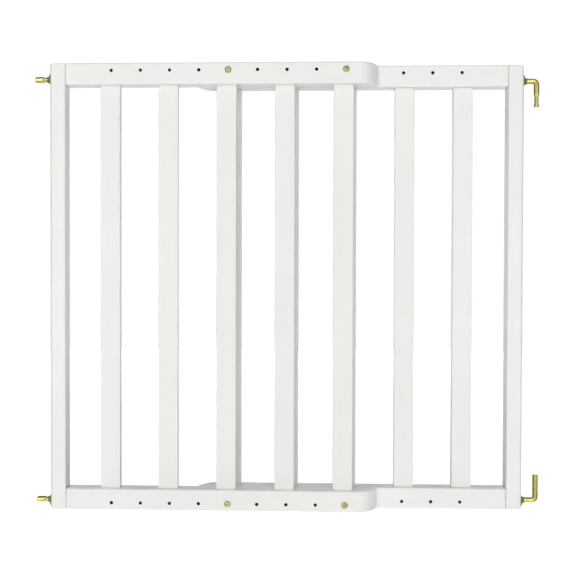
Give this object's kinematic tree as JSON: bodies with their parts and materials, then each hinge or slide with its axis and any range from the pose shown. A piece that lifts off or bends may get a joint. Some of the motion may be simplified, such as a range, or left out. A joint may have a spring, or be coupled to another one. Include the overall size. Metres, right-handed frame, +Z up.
{
  "type": "safety baby gate",
  "caption": "Extending wooden safety gate: two slatted frames side by side, clamped by screws through rows of holes, with brass hinge hooks and latch studs.",
  "frame": {"origin": "middle of the underside of the whole gate's box", "axes": "+X from the latch side to the hinge side, +Y from the front face to the back, +Z up"},
  "size_m": [0.8016, 0.0574, 0.705],
  "materials": {
    "painted_wood": "satin white paint",
    "dowel_wood": "bare beech",
    "brass": "polished, yellow passivated",
    "insert_steel": "zinc plated"
  },
  "bodies": {
    "hinge_frame": {"hinge_post": "painted_wood", "hinge_top_rail": "painted_wood", "hinge_top_dowel_1": "dowel_wood", "hinge_top_dowel_2": "dowel_wood", "hinge_bottom_rail": "painted_wood", "hinge_bottom_dowel_1": "dowel_wood", "hinge_bottom_dowel_2": "dowel_wood", "hinge_slat_1": "painted_wood", "hinge_slat_2": "painted_wood", "hinge_slat_3": "painted_wood", "hinge_slat_4": "painted_wood", "hinge_slat_5": "painted_wood", "hinge_upper_insert": "insert_steel", "hinge_upper_rosette": "brass", "hinge_lower_insert": "insert_steel", "hinge_lower_rosette": "brass"},
    "latch_frame": {"latch_post": "painted_wood", "latch_top_rail": "painted_wood", "latch_top_dowel_1": "dowel_wood", "latch_top_dowel_2": "dowel_wood", "latch_bottom_rail": "painted_wood", "latch_bottom_dowel_1": "dowel_wood", "latch_bottom_dowel_2": "dowel_wood", "latch_slat_1": "painted_wood", "latch_slat_2": "painted_wood", "latch_slat_3": "painted_wood", "latch_slat_4": "painted_wood", "latch_slat_5": "painted_wood", "latch_upper_insert": "insert_steel", "latch_upper_rosette": "brass", "latch_lower_insert": "insert_steel", "latch_lower_rosette": "brass"},
    "upper_hook": {"upper_hinge_hook": "brass"},
    "lower_hook": {"lower_hinge_hook": "brass"},
    "upper_stud": {"upper_latch_stud": "brass"},
    "lower_stud": {"lower_latch_stud": "brass"},
    "screw_upper_left": {"clamp_screw_upper_left": "brass"},
    "nut_upper_left": {"clamp_washer_upper_left": "brass", "cap_nut_upper_left": "brass"},
    "screw_upper_right": {"clamp_screw_upper_right": "brass"},
    "nut_upper_right": {"clamp_washer_upper_right": "brass", "cap_nut_upper_right": "brass"},
    "screw_lower_left": {"clamp_screw_lower_left": "brass"},
    "nut_lower_left": {"clamp_washer_lower_left": "brass", "cap_nut_lower_left": "brass"},
    "screw_lower_right": {"clamp_screw_lower_right": "brass"},
    "nut_lower_right": {"clamp_washer_lower_right": "brass", "cap_nut_lower_right": "brass"}
  },
  "joints": [
    {"name": "width_slide", "type": "slide", "parent": "hinge_frame", "child": "latch_frame", "axis": [-1, 0, 0], "range_m": [-0.184, 0.092]},
    {"name": "upper_hook_turn", "type": "hinge", "parent": "hinge_frame", "child": "upper_hook", "pos_m": [0.3725, 0.00806, 0.6815], "axis": [1, 0, 0], "range_deg": [-180, 180]},
    {"name": "lower_hook_turn", "type": "hinge", "parent": "hinge_frame", "child": "lower_hook", "pos_m": [0.3725, 0.00806, 0.0135], "axis": [1, 0, 0], "range_deg": [-180, 180]},
    {"name": "upper_stud_turn", "type": "hinge", "parent": "latch_frame", "child": "upper_stud", "pos_m": [-0.3755, -0.01424, 0.6815], "axis": [-1, 0, 0], "range_deg": [-180, 180]},
    {"name": "lower_stud_turn", "type": "hinge", "parent": "latch_frame", "child": "lower_stud", "pos_m": [-0.3755, -0.01424, 0.0135], "axis": [-1, 0, 0], "range_deg": [-180, 180]},
    {"name": "screw_upper_left_out", "type": "slide", "parent": "hinge_frame", "child": "screw_upper_left", "axis": [0, -1, 0], "range_m": [0, 0.056]},
    {"name": "nut_upper_left_off", "type": "slide", "parent": "hinge_frame", "child": "nut_upper_left", "axis": [0, 1, 0], "range_m": [0, 0.02]},
    {"name": "screw_upper_right_out", "type": "slide", "parent": "latch_frame", "child": "screw_upper_right", "axis": [0, -1, 0], "range_m": [0, 0.056]},
    {"name": "nut_upper_right_off", "type": "slide", "parent": "latch_frame", "child": "nut_upper_right", "axis": [0, 1, 0], "range_m": [0, 0.02]},
    {"name": "screw_lower_left_out", "type": "slide", "parent": "hinge_frame", "child": "screw_lower_left", "axis": [0, -1, 0], "range_m": [0, 0.056]},
    {"name": "nut_lower_left_off", "type": "slide", "parent": "hinge_frame", "child": "nut_lower_left", "axis": [0, 1, 0], "range_m": [0, 0.02]},
    {"name": "screw_lower_right_out", "type": "slide", "parent": "latch_frame", "child": "screw_lower_right", "axis": [0, -1, 0], "range_m": [0, 0.056]},
    {"name": "nut_lower_right_off", "type": "slide", "parent": "latch_frame", "child": "nut_lower_right", "axis": [0, 1, 0], "range_m": [0, 0.02]}
  ]
}
